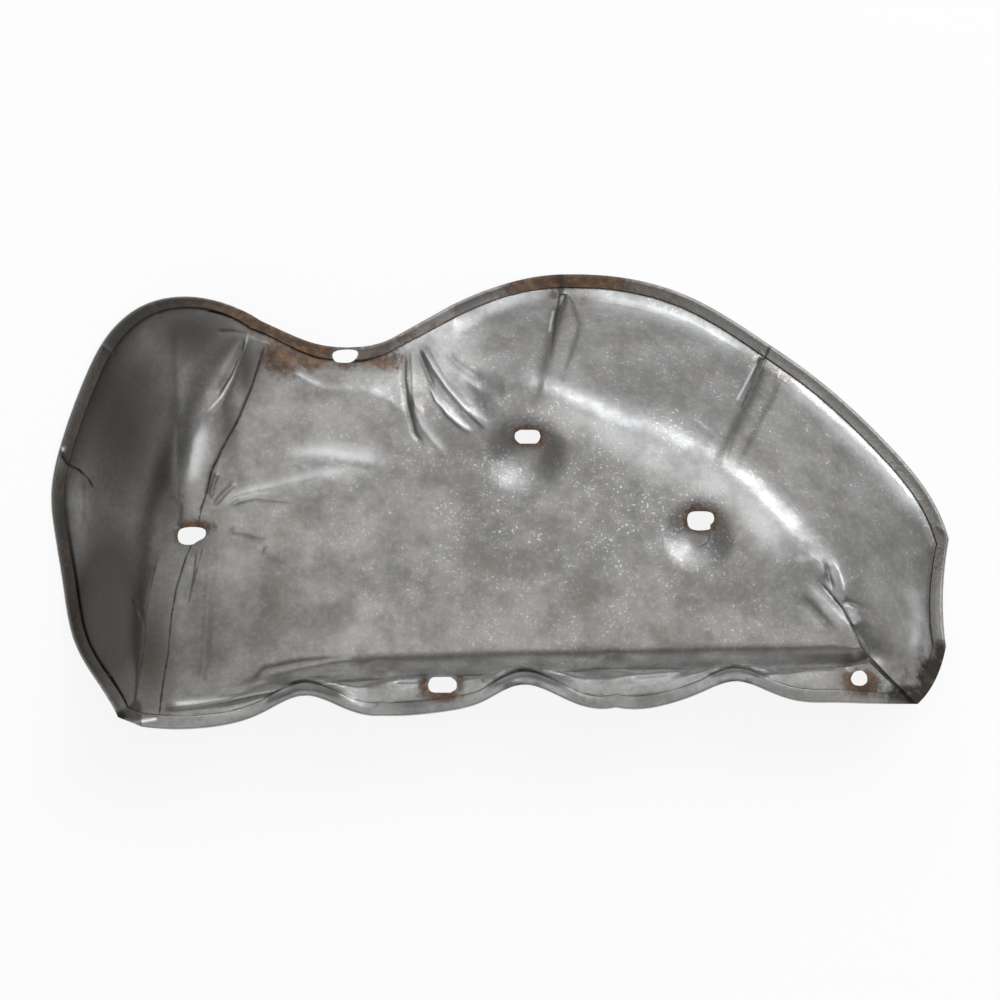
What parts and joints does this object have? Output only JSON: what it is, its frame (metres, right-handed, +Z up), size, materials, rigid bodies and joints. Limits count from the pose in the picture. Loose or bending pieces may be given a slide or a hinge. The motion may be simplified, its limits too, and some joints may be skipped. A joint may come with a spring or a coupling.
{
  "type": "exhaust heat shield",
  "caption": "Dished sheet-steel exhaust heat shield with a hemmed rim, pleated walls, pressed bolt seats and a scalloped bolting flange.",
  "frame": {"origin": "on the floor that the rim rests on, below the middle of the part", "axes": "+X along the shield towards its wide lobe, +Y across it away from the bolting flange, +Z up through the outside of the crown"},
  "size_m": [0.378, 0.1911, 0.0482],
  "materials": {
    "sheet_steel": "satin"
  },
  "bodies": {
    "root": {"heat_shield": "sheet_steel"}
  },
  "joints": []
}
